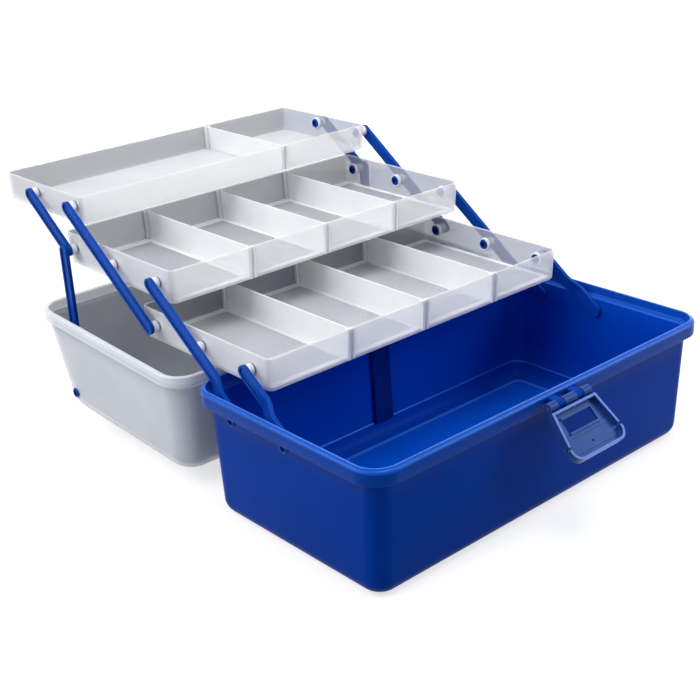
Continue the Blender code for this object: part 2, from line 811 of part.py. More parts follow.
def build_latch(axis):
    """The flap hangs along -Z in its own frame, with its rails towards -Y."""
    back_y = latch_barrel_radius
    face_y = back_y - latch_plate
    rail_y = face_y - latch_rail_height
    body = bmesh.new()
    add_prism(body, flap_outline(0.0), rail_y, back_y, along="y")
    flap = make_part(body, "latch_flap", latch_plastic, axis)

    pocket = bmesh.new()
    add_prism(pocket, flap_outline(latch_rail_width), rail_y - cut_overrun, face_y, along="y")
    combine(flap, pocket, "DIFFERENCE", "latch_pocket")

    slots = bmesh.new()
    half = latch_slot_width / 2
    add_box(slots, (-half, face_y - cut_overrun, -latch_slot_high),
            (half, back_y + cut_overrun, -latch_slot_low))
    notch_z = -latch_length * latch_notch_share
    edge_x = latch_top_width / 2 + (latch_tip_width - latch_top_width) / 2 * latch_notch_share
    for side in (-1, 1):
        ends = sorted((side * (edge_x - latch_notch / 2), side * (edge_x + latch_tip_radius)))
        add_box(slots, (ends[0], rail_y - cut_overrun, notch_z - latch_notch),
                (ends[1], back_y + cut_overrun, notch_z))
    combine(flap, slots, "DIFFERENCE", "latch_slots")

    barrel = bmesh.new()
    gap_start = latch_window_spacing / 2 - latch_window_width / 2
    gap_end = latch_window_spacing / 2 + latch_window_width / 2
    end = latch_barrel_length / 2
    radius = latch_barrel_radius
    outline = [(face_y, -latch_neck_length - root_depth), (back_y, -latch_neck_length - root_depth)]
    outline += arc_points(0.0, 0.0, radius, 0, 240, pin_sides - 2)
    for start, stop in ((-end, -gap_end), (-gap_start, gap_start), (gap_end, end)):
        add_prism(barrel, outline, start, stop)
    for top_z in (-latch_slot_low + latch_ridge_width, -latch_slot_high):
        add_box(barrel, (-half, face_y - latch_ridge_height, top_z - latch_ridge_width),
                (half, face_y + root_depth, top_z))
    combine(flap, barrel, "UNION", "latch_barrel")

    bore = bmesh.new()
    add_rod(bore, -end - cut_overrun, end + cut_overrun, latch_hole_radius)
    combine(flap, bore, "DIFFERENCE", "latch_bore")


def build_latch_pin():
    pin = bmesh.new()
    reach = latch_barrel_length / 2 - rest_gap
    add_rod(pin, -reach, reach, latch_pin_radius)
    make_part(pin, "latch_pin", pin_steel, axis_empty("latch_pin_axis", (0.0, latch_y, latch_z)))


def build_linkage():
    """The chain of arms and trays, each hung from the axis that carries it."""
    front_arm = axis_empty("front_arm_axis", (0.0, tub_pivot_rear_y - pivot_spacing, tub_pivot_z),
                           arm_angle)
    lower_arm = axis_empty("lower_arm_axis", (0.0, tub_pivot_rear_y, tub_pivot_z), arm_angle)
    bottom_tray = axis_empty("bottom_tray_axis", (0.0, arm_step, 0.0), -arm_angle, lower_arm)
    middle_tray = axis_empty("middle_tray_axis", (0.0, 2 * arm_step, 0.0), -arm_angle, lower_arm)
    upper_arm = axis_empty("upper_arm_axis", (0.0, pivot_spacing, 0.0), arm_angle, bottom_tray)
    rear_arm = axis_empty("rear_arm_axis", (0.0, 2 * pivot_spacing, 0.0), arm_angle, middle_tray)
    top_tray = axis_empty("top_tray_axis", (0.0, 2 * arm_step, 0.0), -arm_angle, upper_arm)

    build_tray("tray_bottom", bottom_tray, (-pivot_spacing, 0.0, pivot_spacing),
               bottom_tray_front, bottom_tray_back, bottom_tray_below, bottom_tray_height,
               bottom_divider_shares)
    build_tray("tray_middle", middle_tray, (0.0, pivot_spacing, 2 * pivot_spacing),
               middle_tray_front, middle_tray_back, middle_tray_below, middle_tray_height,
               middle_divider_shares)
    build_tray("tray_top", top_tray, (0.0, pivot_spacing),
               top_tray_front, top_tray_back, top_tray_below, top_tray_height,
               top_divider_shares)

    wall = (tub_half_x(tub_pivot_z - arm_width / 2) - tub_wall - rest_gap,
            tub_half_x(tub_pivot_z + pivot_head_radius))
    for label, side in (("left", -1), ("right", 1)):
        build_arm("front_arm_" + label, front_arm, side, arm_step, arm_inner_x,
                  (arm_step,), wall)
        build_arm("lower_arm_" + label, lower_arm, side, 2 * arm_step, arm_inner_x,
                  (arm_step, 2 * arm_step), wall)
        build_arm("upper_arm_" + label, upper_arm, side, 2 * arm_step, arm_inner_x,
                  (0.0, arm_step, 2 * arm_step))
        build_arm("rear_arm_" + label, rear_arm, side, arm_step, arm_inner_x,
                  (0.0, arm_step))


def build_lid_stays(lid_axis):
    """The stays between the lid's ends and the middle tray's rear pivots."""
    y, z = stay_place()
    turn = math.radians(lid_opening_deg)
    lid_y = hinge_y + y * math.cos(turn) + z * math.sin(turn)
    lid_z = hinge_z - y * math.sin(turn) + z * math.cos(turn)
    tray_y = tub_pivot_rear_y + 2 * arm_step * math.cos(arm_angle) + 2 * pivot_spacing
    tray_z = tub_pivot_z + 2 * arm_step * math.sin(arm_angle)
    length = math.hypot(tray_y - lid_y, tray_z - lid_z)
    lean = math.atan2(tray_z - lid_z, tray_y - lid_y)
    axis = axis_empty("lid_stay_axis", (0.0, y, z), lean + turn, lid_axis)
    wall = (lid_inner_x(stay_from_lid_rim + pivot_collar_radius) - 2 * rest_gap,
            lid_side_x(stay_from_lid_rim - pivot_head_radius))
    for label, side in (("left", -1), ("right", 1)):
        build_arm("lid_stay_" + label, axis, side, length, stay_inner_x, (), wall)


def build_box():
    build_tub()
    build_hinge_pins()
    lid_axis = axis_empty("lid_hinge_axis", (0.0, hinge_y, hinge_z),
                          -math.radians(lid_opening_deg))
    build_lid(lid_axis)
    roof_z = lid_rim_z - hinge_z + lid_height
    handle_axis = axis_empty("carry_handle_axis", (0.0, -hinge_y, roof_z + handle_axis_height()),
                             0.0, lid_axis)
    build_handle(handle_axis)
    build_lid_stays(lid_axis)
    build_linkage()
    latch_axis = axis_empty("latch_axis", (0.0, latch_y, latch_z), -math.radians(latch_hang_deg))
    build_latch(latch_axis)
    build_latch_pin()


build_box()
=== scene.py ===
# The looks of the three-tray tackle box: every shell, tray, arm and fitting as a finely
# rounded moulding with procedural plastic, a pale floor, soft light and the camera.
# Every mesh is written in the place where it stands, so no object is moved.

import math

import bmesh
import bpy
from mathutils import Matrix, Vector


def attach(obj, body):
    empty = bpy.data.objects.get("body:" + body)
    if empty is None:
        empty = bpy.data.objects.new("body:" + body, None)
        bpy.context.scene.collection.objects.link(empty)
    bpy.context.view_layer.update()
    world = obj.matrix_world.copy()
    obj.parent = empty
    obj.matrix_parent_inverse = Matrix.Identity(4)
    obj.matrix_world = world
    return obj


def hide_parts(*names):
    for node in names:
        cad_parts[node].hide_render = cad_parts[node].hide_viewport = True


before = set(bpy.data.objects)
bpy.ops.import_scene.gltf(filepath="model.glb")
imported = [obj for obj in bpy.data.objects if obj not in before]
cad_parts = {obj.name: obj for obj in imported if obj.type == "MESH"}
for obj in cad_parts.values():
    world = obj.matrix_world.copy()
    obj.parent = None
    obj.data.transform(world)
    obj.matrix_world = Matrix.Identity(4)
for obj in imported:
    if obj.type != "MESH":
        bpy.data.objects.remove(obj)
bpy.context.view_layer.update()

# Sizes in metres, as the frame has them

TUB_L, TUB_D, TUB_H = 0.400, 0.222, 0.1160
TUB_WALL = 0.0026
TUB_CORNER = 0.024
TUB_DRAFT_X, TUB_DRAFT_Y = 0.0026, 0.0043
TUB_FOOT = 0.0135
BAND_H = 0.0137
OVERHANG = 0.0080
SKIRT = 0.0020
EDGE_R = 0.0025
BEAD_H, BEAD_W = 0.0012, 0.0020
LEDGE_Z = TUB_H - 0.008
LEDGE_T = 0.0025
LEDGE_FALL = 0.0012

LID_L = 0.404
LID_BACK_Y = 0.1113
LID_FRONT_Y = -0.1155
LID_H = 0.1027
LID_WALL = 0.0024
LID_CORNER = 0.024
LID_BAND_H = 0.0105
LID_BAND = 0.0035
LID_LEDGE_W = 0.0012
LID_DRAFT_X, LID_DRAFT_BACK, LID_DRAFT_FRONT = 0.0073, 0.0048, 0.0272
LID_TOP_R = 0.0224
LID_RIM_Z = TUB_H + 0.0003
LID_OPEN = math.radians(177.6)

HINGE_Y, HINGE_Z = 0.120, 0.1143
HINGE_SPACING = 0.240
KNUCKLE_R = 0.0042

PIVOTS = 0.0663
ARM_STEP = 0.0719
ARM_ANGLE = math.radians(35.9)
TUB_PIVOT_Y, TUB_PIVOT_Z = 0.0663, 0.0961
ARM_W, ARM_T = 0.0112, 0.0036
TRAY_L = 0.3476
TRAY_WALL = 0.0018
TRAY_DRAFT = 0.0015
COLLAR_X = TRAY_L / 2 + 0.0003
ARM_X = COLLAR_X + 0.0055
STAY_X = ARM_X + ARM_T + 0.0004
PIN_R, HEAD_R, HEAD_L, COLLAR_R = 0.0039, 0.0049, 0.0010, 0.0050
JOG_START, JOG_END = 0.023, 0.041
STAY_FROM_FRONT = 0.0457
STAY_FROM_RIM = LID_H - 0.0244
TRAY_CORNER = 0.006
TRAY_FOOT = 0.0025
BOSS_X = TRAY_L / 2 - TRAY_DRAFT - TRAY_WALL - 0.0018
DIVIDER_T, DIVIDER_GAP, DIVIDER_DROP = 0.0015, 0.0003, 0.0012
GUIDE_W = 0.0070
RIB_PITCH = 0.0026

LATCH_Y, LATCH_Z = -0.119, 0.1085
LATCH_HANG = math.radians(46.7)
FLAP_TOP_X, FLAP_TIP_X = 0.0265, 0.032
FLAP_TOP_Z, FLAP_TIP_Z = -0.0052, -0.048
FLAP_CORNER, FLAP_FRAME, FLAP_RAIL = 0.010, 0.0022, 0.0050

HANDLE_HALF, HANDLE_REACH, HANDLE_CORNER = 0.066, 0.038, 0.014
HANDLE_END, GRIP_R = 0.0065, 0.005
LUG_R, LUG_T = 0.0075, 0.008
LUG_OUTER = HANDLE_HALF - HANDLE_END
HANDLE_AXIS_Z = LID_RIM_Z - HINGE_Z + LID_H + 0.0081328


# Nodes of a procedural material

def new_material(name):
    material = bpy.data.materials.new(name)
    material.use_nodes = True
    nodes = material.node_tree.nodes
    return material, nodes, material.node_tree.links, nodes["Principled BSDF"]


def noise(nodes, links, scale, detail, stretch=(1.0, 1.0, 1.0)):
    place = nodes.new("ShaderNodeTexCoord")
    shape = nodes.new("ShaderNodeMapping")
    shape.inputs["Scale"].default_value = stretch
    texture = nodes.new("ShaderNodeTexNoise")
    texture.inputs["Scale"].default_value = scale
    texture.inputs["Detail"].default_value = detail
    links.new(place.outputs["Object"], shape.inputs["Vector"])
    links.new(shape.outputs["Vector"], texture.inputs["Vector"])
    return texture.outputs["Fac"]


def ramp(nodes, links, source, stops):
    node = nodes.new("ShaderNodeValToRGB")
    elements = node.color_ramp.elements
    while len(elements) < len(stops):
        elements.new(0.5)
    for element, (place, color) in zip(elements, stops):
        element.position = place
        element.color = (*color, 1.0)
    links.new(source, node.inputs["Fac"])
    return node.outputs["Color"]


def spread(nodes, links, source, low, high):
    node = nodes.new("ShaderNodeMapRange")
    node.inputs["To Min"].default_value = low
    node.inputs["To Max"].default_value = high
    links.new(source, node.inputs["Value"])
    return node.outputs["Result"]


def bump(nodes, links, source, strength, distance, before=None):
    node = nodes.new("ShaderNodeBump")
    node.inputs["Strength"].default_value = strength
    node.inputs["Distance"].default_value = distance
    links.new(source, node.inputs["Height"])
    if before is not None:
        links.new(before, node.inputs["Normal"])
    return node.outputs["Normal"]


def moulded_plastic(name, color, rough_low, rough_high, level):
    """Opaque moulded plastic: faint flow shade, soft grain and slightly uneven gloss."""
    material, nodes, links, shader = new_material(name)
    dark = tuple(value * 0.90 for value in color)
    light = tuple(value * 1.10 for value in color)
    flow = noise(nodes, links, 9.0, 3.0)
    links.new(ramp(nodes, links, flow, ((0.3, dark), (0.7, light))), shader.inputs["Base Color"])
    wear = noise(nodes, links, 45.0, 3.0)
    links.new(spread(nodes, links, wear, rough_low, rough_high), shader.inputs["Roughness"])
    waves = bump(nodes, links, noise(nodes, links, 12.0, 1.0), 0.20, 0.0006)
    grain = bump(nodes, links, noise(nodes, links, 420.0, 1.0), 0.08, 0.00008, waves)
    links.new(grain, shader.inputs["Normal"])
    shader.inputs["IOR"].default_value = 1.49
    shader.inputs["Specular IOR Level"].default_value = level
    shader.inputs["Specular Tint"].default_value = (0.14, 0.42, 1.0, 1.0)
    return material


def frosted(name, color, alpha_low, alpha_high, glow=0.0):
    """Milky see-through polypropylene with faint flow clouds and a frosted face."""
    material, nodes, links, shader = new_material(name)
    dark = tuple(value * 0.965 for value in color)
    light = tuple(min(value * 1.035, 1.0) for value in color)
    cloud = noise(nodes, links, 14.0, 3.0)
    links.new(ramp(nodes, links, cloud, ((0.3, dark), (0.7, light))), shader.inputs["Base Color"])
    links.new(spread(nodes, links, cloud, alpha_low, alpha_high), shader.inputs["Alpha"])
    frost = noise(nodes, links, 60.0, 3.0)
    links.new(spread(nodes, links, frost, 0.30, 0.44), shader.inputs["Roughness"])
    waves = bump(nodes, links, noise(nodes, links, 16.0, 1.0), 0.22, 0.0004)
    grain = bump(nodes, links, noise(nodes, links, 500.0, 1.0), 0.07, 0.00006, waves)
    links.new(grain, shader.inputs["Normal"])
    shader.inputs["IOR"].default_value = 1.49
    shader.inputs["Specular IOR Level"].default_value = 0.35
    shader.inputs["Subsurface Weight"].default_value = glow
    shader.inputs["Subsurface Radius"].default_value = (1.0, 1.0, 1.0)
    shader.inputs["Subsurface Scale"].default_value = 0.004
    return material


TUB_BLUE = moulded_plastic("tub_blue", (0.0003, 0.0350, 0.285), 0.32, 0.42, 0.03)
# A lighter copy of the tub's blue for the inside walls, painted light.
TUB_INSIDE_LIT = moulded_plastic("tub_blue_inside_painted_light", (0.0006, 0.0500, 0.400), 0.32, 0.42, 0.05)
# A still lighter copy of the tub's blue for the inner floor, painted light.
TUB_FLOOR_LIT = moulded_plastic("tub_blue_floor_painted_light", (0.0010, 0.0820, 0.560), 0.30, 0.40, 0.08)
# A lighter blue with more gloss for the rim's edge, bead and ledge, painted light.
RIM_LIT_BLUE = moulded_plastic("rim_blue_painted_light", (0.0030, 0.0640, 0.410), 0.18, 0.26, 0.50)
SKIRT_BLUE = moulded_plastic("skirt_blue", (0.0006, 0.0400, 0.290), 0.26, 0.36, 0.10)
# A pale blue for thin lines along the bead's top and the inner foot, painted highlight.
HIGHLIGHT_LINE_BLUE = moulded_plastic("painted_highlight_line_blue", (0.0300, 0.1500, 0.640), 0.20, 0.30, 0.50)
# A dark blue for the pilaster, painted shade.
PILASTER_SHADE_BLUE = moulded_plastic("pilaster_painted_shade", (0.0003, 0.0190, 0.160), 0.36, 0.46, 0.04)
ARM_BLUE = moulded_plastic("arm_blue", (0.0020, 0.0480, 0.320), 0.30, 0.40, 0.12)
# A dark blue for the dimple in each pin's nose, painted shade.
PIN_DIMPLE_SHADE = moulded_plastic("pin_dimple_painted_shade", (0.0030, 0.0160, 0.110), 0.34, 0.44, 0.10)
LATCH_BLUE = moulded_plastic("latch_blue", (0.014, 0.042, 0.190), 0.26, 0.36, 0.25)
# A lighter blue for the latch's rounded edges and rail tops, painted highlight.
LATCH_HIGHLIGHT = moulded_plastic("latch_painted_highlight", (0.075, 0.130, 0.440), 0.24, 0.34, 0.50)
# A lighter blue for the arms' rounded edges, painted highlight.
ARM_HIGHLIGHT = moulded_plastic("arm_edge_painted_highlight", (0.012, 0.105, 0.540), 0.24, 0.34, 0.45)
TRAY_OUTSIDE = frosted("tray_frost", (0.95, 0.955, 0.965), 0.44, 0.54, 1.0)
# A dark grey for the inner faces of the trays' back walls, painted shade.
TRAY_BACK_SHADE = frosted("tray_frost_back_painted_shade", (0.25, 0.26, 0.30), 0.66, 0.74)
TRAY_FLOOR = frosted("tray_frost_floor", (0.93, 0.935, 0.95), 0.76, 0.84)
# A darker grey floor for the top tray alone, painted shade.
TOP_FLOOR_SHADE = frosted("tray_frost_top_floor_painted_shade", (0.58, 0.59, 0.62), 0.64, 0.72)
# A dark blue grey for the inner faces of the trays' end walls, painted shade.
TRAY_END_SHADE = frosted("tray_frost_end_painted_shade", (0.29, 0.32, 0.42), 0.56, 0.64)
TRAY_CLEAR = frosted("tray_frost_clear", (0.86, 0.865, 0.88), 0.16, 0.24)
TRAY_PLATE = frosted("tray_frost_plate", (0.93, 0.935, 0.95), 0.62, 0.72)
TRAY_SOLID = frosted("tray_frost_solid", (0.84, 0.85, 0.88), 0.90, 0.96)
TRAY_LINE = frosted("tray_frost_line", (0.40, 0.41, 0.45), 0.90, 1.0)
LID_OUTSIDE = frosted("lid_frost", (0.90, 0.94, 1.00), 0.56, 0.66)
# A dark blue grey for the lid's inside, painted shade.
LID_INSIDE_SHADE = frosted("lid_frost_inside_painted_shade", (0.120, 0.165, 0.255), 0.68, 0.76)
LID_SOLID = frosted("lid_frost_solid", (0.80, 0.82, 0.87), 0.96, 1.0)


def steel():
    material, nodes, links, shader = new_material("pin_wire")
    draw = noise(nodes, links, 400.0, 3.0, (1.0, 40.0, 40.0))
    links.new(ramp(nodes, links, draw, ((0.3, (0.50, 0.51, 0.53)), (0.7, (0.64, 0.65, 0.67)))),
              shader.inputs["Base Color"])
    links.new(spread(nodes, links, draw, 0.22, 0.36), shader.inputs["Roughness"])
    shader.inputs["Metallic"].default_value = 1.0
    return material


PIN_STEEL = steel()


# Mesh helpers

def mesh_object(bm, name, materials=()):
    bmesh.ops.recalc_face_normals(bm, faces=bm.faces)
    mesh = bpy.data.meshes.new(name)
    bm.to_mesh(mesh)
    bm.free()
    made = bpy.data.objects.new(name, mesh)
    bpy.context.scene.collection.objects.link(made)
    for material in materials:
        mesh.materials.append(material)
    return made


def soften(target, width, angle=32.0, highlight_slot=-1):
    for polygon in target.data.polygons:
        polygon.use_smooth = True
    modifier = target.modifiers.new("soft_edges", "BEVEL")
    modifier.width = width
    modifier.segments = 3
    modifier.limit_method = "ANGLE"
    modifier.angle_limit = math.radians(angle)
    modifier.harden_normals = True
    modifier.use_clamp_overlap = True
    # The bevel faces take the given slot, where the arms and latch keep a painted highlight.
    modifier.material = highlight_slot


def finish_mesh(bm, name, materials, place=None, bevel=0.0, angle=32.0):
    if place is not None:
        bm.transform(place)
    if not isinstance(materials, tuple):
        materials = (materials,)
    made = mesh_object(bm, name, materials)
    if bevel:
        soften(made, bevel, angle)
    else:
        for polygon in made.data.polygons:
            polygon.use_smooth = True
        made.data.set_sharp_from_angle(angle=math.radians(angle))
    return made


def ring(low_x, high_x, low_y, high_y, radius, z, steps=12):
    centres = ((high_x - radius, high_y - radius), (low_x + radius, high_y - radius),
               (low_x + radius, low_y + radius), (high_x - radius, low_y + radius))
    points = []
    for quarter, (cx, cy) in enumerate(centres):
        for step in range(steps + 1):
            turn = math.pi / 2 * (quarter + step / steps)
            points.append(Vector((cx + radius * math.cos(turn), cy + radius * math.sin(turn), z)))
    return points


def loft(bm, rings, closed=False):
    """A body through rings of equal count. Gives its faces, one list for each pair of rings."""
    rows = [[bm.verts.new(point) for point in points] for points in rings]
    count = len(rows[0])
    pairs = list(zip(rows, rows[1:]))
    if closed:
        pairs.append((rows[-1], rows[0]))
    made = []
    for lower, upper in pairs:
        made.append([bm.faces.new((lower[index], lower[(index + 1) % count],
                                   upper[(index + 1) % count], upper[index]))
                     for index in range(count)])
    if not closed:
        made.append([bm.faces.new(reversed(rows[0]))])
        made.append([bm.faces.new(rows[-1])])
    return made


def paint(bands, finishes, material):
    index = finishes.index(material)
    for faces in bands:
        for face in faces:
            face.material_index = index


def block(bm, low, high):
    low, high = Vector(low), Vector(high)
    place = Matrix.Translation((low + high) / 2) @ Matrix.Diagonal((*(high - low), 1.0))
    return bmesh.ops.create_cube(bm, size=1.0, matrix=place)["verts"]


def arc(cu, cv, radius, start, end, steps):
    points = []
    for step in range(steps + 1):
        turn = math.radians(start + (end - start) * step / steps)
        points.append((cu + radius * math.cos(turn), cv + radius * math.sin(turn)))
    return points


def prism(bm, outline, start, end, along="x"):
    rings = []
    for place in (start, end):
        if along == "x":
            rings.append([Vector((place, u, v)) for u, v in outline])
        else:
            rings.append([Vector((u, place, v)) for u, v in outline])
    loft(bm, rings)


def turned(bm, profile, y=0.0, closed=False):
    sides = 32
    rings = []
    for x, radius in profile:
        rings.append([Vector((x, y + radius * math.cos(math.tau * side / sides),
                              radius * math.sin(math.tau * side / sides)))
                      for side in range(sides)])
    return loft(bm, rings, closed)


def mirrored(bm):
    for vert in bm.verts:
        vert.co.x = -vert.co.x


def at(y, z, angle=0.0):
    return Matrix.Translation((0.0, y, z)) @ Matrix.Rotation(angle, 4, "X")


LID_PLACE = at(HINGE_Y, HINGE_Z, -LID_OPEN)


def combine(target, bm, name, place, operation="DIFFERENCE"):
    """Cuts bm from target or joins it, applies that, and deletes the tool."""
    bm.transform(place)
    tool = mesh_object(bm, name)
    modifier = target.modifiers.new(name, "BOOLEAN")
    modifier.operation = operation
    modifier.solver = "EXACT"
    modifier.object = tool
    bpy.context.view_layer.update()
    graph = bpy.context.evaluated_depsgraph_get()
    result = bpy.data.meshes.new_from_object(target.evaluated_get(graph))
    target.modifiers.clear()
    target.data = result
    bpy.data.objects.remove(tool)


def stand_for(piece, body, nodes):
    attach(piece, body)
    if nodes:
        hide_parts(*nodes)


# Tub

def tub_half(z, length, draft):
    top = TUB_H - BAND_H
    return length / 2 - OVERHANG - draft * (top - z) / top


def tub_ring(inset, z, radius):
    x = tub_half(z, TUB_L, TUB_DRAFT_X) - inset
    y = tub_half(z, TUB_D, TUB_DRAFT_Y) - inset
    return ring(-x, x, -y, y, radius, z)


def rim_ring(inset, z):
    x, y = TUB_L / 2 - inset, TUB_D / 2 - inset
    return ring(-x, x, -y, y, TUB_CORNER - inset, z)


def tub_shell():
    wall_r = TUB_CORNER - OVERHANG
    inner_r = wall_r - TUB_WALL
    top = TUB_H - BAND_H
    under = LEDGE_Z - LEDGE_T
    rings = []
    for inset, height in arc(TUB_FOOT, TUB_FOOT, TUB_FOOT, 270, 180, 9):
        rings.append(tub_ring(inset, height, wall_r - inset / 2))
    for share in (0.25, 0.5, 0.75, 1.0):
        z = TUB_FOOT + (under - 0.0008 - TUB_FOOT) * share
        rings.append(tub_ring(0.0, z, wall_r))
    rings.append(rim_ring(OVERHANG - 0.0008, under))
    rings.append(rim_ring(SKIRT + 0.0006, under))
    rings.append(rim_ring(SKIRT, under - 0.0006))
    rim_start = len(rings)
    for inset, z in arc(SKIRT / 2, top + SKIRT / 2, SKIRT / 2, 0, -180, 8):
        rings.append(rim_ring(inset, z))
    edge_start = len(rings)
    shoulder = TUB_H - BEAD_H
    for inset, z in arc(EDGE_R, shoulder - EDGE_R, EDGE_R, 180, 95, 8):
        rings.append(rim_ring(inset, z))
    rings.append(rim_ring(EDGE_R, shoulder + 0.0001))
    bead = EDGE_R + BEAD_W / 2
    bead_top = len(rings) + 3
    for inset, z in arc(bead, TUB_H - BEAD_W / 2, BEAD_W / 2, 180, 0, 10):
        rings.append(rim_ring(inset, z))
    inner = EDGE_R + BEAD_W
    rings.append(rim_ring(inner + 0.0002, LEDGE_Z + 0.0008))
    rings.append(rim_ring(inner + 0.0004, LEDGE_Z + 0.0002))
    rings.append(rim_ring(inner + 0.0009, LEDGE_Z))
    low = LEDGE_Z - LEDGE_FALL
    rings.append(tub_ring(TUB_WALL - 0.0012, low + 0.0004, inner_r + 0.0012))
    rings.append(tub_ring(TUB_WALL - 0.0004, low, inner_r + 0.0004))
    rings.append(tub_ring(TUB_WALL, low - 0.0008, inner_r))
    rim_end = len(rings) - 1
    foot = TUB_FOOT
    for share in (0.75, 0.5, 0.25):
        z = foot + 0.004 + (low - foot) * share
        rings.append(tub_ring(TUB_WALL, z, inner_r))
    step = 0.0007
    line_start = len(rings)
    rings.append(tub_ring(TUB_WALL, TUB_WALL + foot + 0.0016, inner_r))
    rings.append(tub_ring(TUB_WALL + step * 0.7, TUB_WALL + foot + 0.0011, inner_r - step / 2))
    rings.append(tub_ring(TUB_WALL + step, TUB_WALL + foot + 0.0003, inner_r - step / 2))
    for inset, height in arc(foot + step, foot, foot - step, 190, 262, 9):
        rings.append(tub_ring(TUB_WALL + inset, TUB_WALL + height, inner_r - inset / 2))
    floor_start = len(rings) - 1
    for inset, height in ((foot + 0.0006, 0.00065), (foot + 0.0014, 0.0003), (foot + 0.0018, 0.0)):
        rings.append(tub_ring(TUB_WALL + inset, TUB_WALL + height, inner_r - inset / 2))
    rings.append(tub_ring(TUB_WALL + foot + 0.006, TUB_WALL, inner_r - foot / 2 - 0.003))
    bm = bmesh.new()
    bands = loft(bm, rings)
    finishes = (TUB_BLUE, RIM_LIT_BLUE, TUB_INSIDE_LIT, TUB_FLOOR_LIT, SKIRT_BLUE, HIGHLIGHT_LINE_BLUE)
    paint(bands[rim_start - 1:edge_start], finishes, SKIRT_BLUE)
    # The rim's edge, bead and ledge take the lighter blue, painted light.
    paint(bands[edge_start:rim_end], finishes, RIM_LIT_BLUE)
    # The inside walls and the inner floor take lighter copies of the blue, painted light.
    paint(bands[rim_end:floor_start], finishes, TUB_INSIDE_LIT)
    paint(bands[floor_start + 3:-2] + bands[-1:], finishes, TUB_FLOOR_LIT)
    # The bead's top and the ledges at the inner foot and floor take the pale blue, painted
    # highlight lines.
    for start, count in ((bead_top, 5), (line_start, 2), (floor_start, 3)):
        paint(bands[start:start + count], finishes, HIGHLIGHT_LINE_BLUE)
    return finish_mesh(bm, "tub_shell", finishes, angle=50.0)


def tub_fittings():
    """Knuckles and latch lugs on the tub's shell."""
    bm = bmesh.new()
    wall_y = TUB_D / 2 - 0.0008
    outline = [(wall_y, HINGE_Z), (wall_y, HINGE_Z - 0.006)]
    outline += arc(HINGE_Y, HINGE_Z, KNUCKLE_R, -90, 90, 14)
    for centre in (-HINGE_SPACING / 2, HINGE_SPACING / 2):
        prism(bm, outline, centre + 0.0124, centre + 0.0264)
        prism(bm, outline, centre - 0.0264, centre - 0.0124)
    wall_y = -TUB_D / 2 + 0.0008
    outline = [(wall_y, LATCH_Z - 0.0038), (wall_y, LATCH_Z + 0.0038)]
    outline += arc(LATCH_Y, LATCH_Z, 0.0038, 90, 270, 14)
    for side in (-1, 1):
        prism(bm, outline, side * 0.0115 - 0.00385, side * 0.0115 + 0.00385)
    return finish_mesh(bm, "tub_fittings", TUB_BLUE, bevel=0.0005)


# The pilaster takes the dark blue, painted shade.
def tub_pilaster():
    bm = bmesh.new()
    for vert in block(bm, (-0.011, -0.003, 0.0161), (0.011, 0.0008, LEDGE_Z - 2 * LEDGE_FALL)):
        vert.co.y += tub_half(vert.co.z, TUB_D, TUB_DRAFT_Y) - TUB_WALL
    return finish_mesh(bm, "tub_pilaster", PILASTER_SHADE_BLUE, bevel=0.0008)


stand_for(tub_shell(), "tub", ("base_tub",))
stand_for(tub_fittings(), "tub", ())
stand_for(tub_pilaster(), "tub", ())


# Lid, in the frame of its hinge as when closed, then opened

def lid_ring(inset, height, radius):
    share = max(height - LID_BAND_H, 0.0) / (LID_H - LID_BAND_H)
    base = 0.0 if height < LID_BAND_H else LID_BAND
    side = base + LID_DRAFT_X * share + inset
    back = base + LID_DRAFT_BACK * share + inset
    front = base + LID_DRAFT_FRONT * share + inset
    return ring(-LID_L / 2 + side, LID_L / 2 - side, LID_FRONT_Y - HINGE_Y + front,
                LID_BACK_Y - HINGE_Y - back, radius, LID_RIM_Z - HINGE_Z + height)


def lid_side_x(height):
    share = (height - LID_BAND_H) / (LID_H - LID_BAND_H)
    return LID_L / 2 - LID_BAND - LID_DRAFT_X * share


